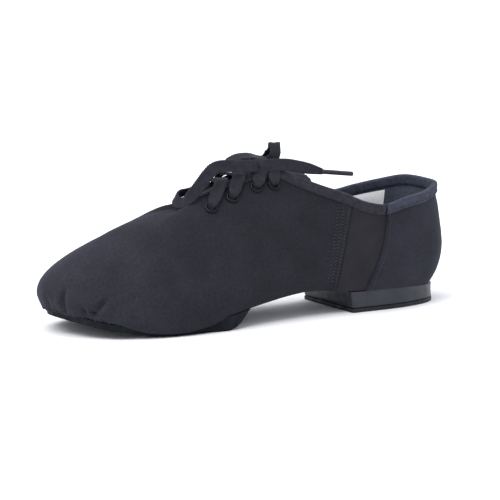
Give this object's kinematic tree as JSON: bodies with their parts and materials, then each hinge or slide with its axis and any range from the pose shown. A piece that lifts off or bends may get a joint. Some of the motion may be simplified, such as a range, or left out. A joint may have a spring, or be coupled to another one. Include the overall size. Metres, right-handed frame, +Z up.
{
  "type": "jazz shoe",
  "caption": "Low canvas lace-up dance shoe with a split sole, elastic side panels, bound collar, eyelets and a tied bow, left foot, standing empty on its sole and low heel.",
  "frame": {"origin": "on the floor under the middle of the shoe's box, taken without the knot, bow and free lace end", "axes": "+Z up, +X towards the heel (the toe points to -X), +Y to the medial side"},
  "size_m": [0.24, 0.0804, 0.0934],
  "materials": {
    "canvas": "matte black stretch canvas",
    "binding": "ribbed woven tape",
    "lining": "matte lining",
    "outsole": "satin",
    "heel": "satin",
    "lift": "matte",
    "eyelet_metal": "gloss black",
    "lace": "woven flat lace",
    "aglet": "gloss",
    "label": "smooth woven, bare"
  },
  "bodies": {
    "root": {"upper": "canvas", "tongue": "canvas", "binding_front": "binding", "binding_rear": "binding", "insole": "lining", "forefoot_sole": "outsole", "heel_block": "heel", "heel_top_lift": "lift", "label": "label", "lace_crossings": "lace", "lace_knot": "lace", "lace_loop_front": "lace", "lace_loop_rear": "lace", "lace_end": "lace", "lace_aglet": "aglet", "eyelet_lateral_1": "eyelet_metal", "eyelet_lateral_2": "eyelet_metal", "eyelet_lateral_3": "eyelet_metal", "eyelet_lateral_4": "eyelet_metal", "eyelet_medial_1": "eyelet_metal", "eyelet_medial_2": "eyelet_metal", "eyelet_medial_3": "eyelet_metal", "eyelet_medial_4": "eyelet_metal"}
  },
  "joints": []
}
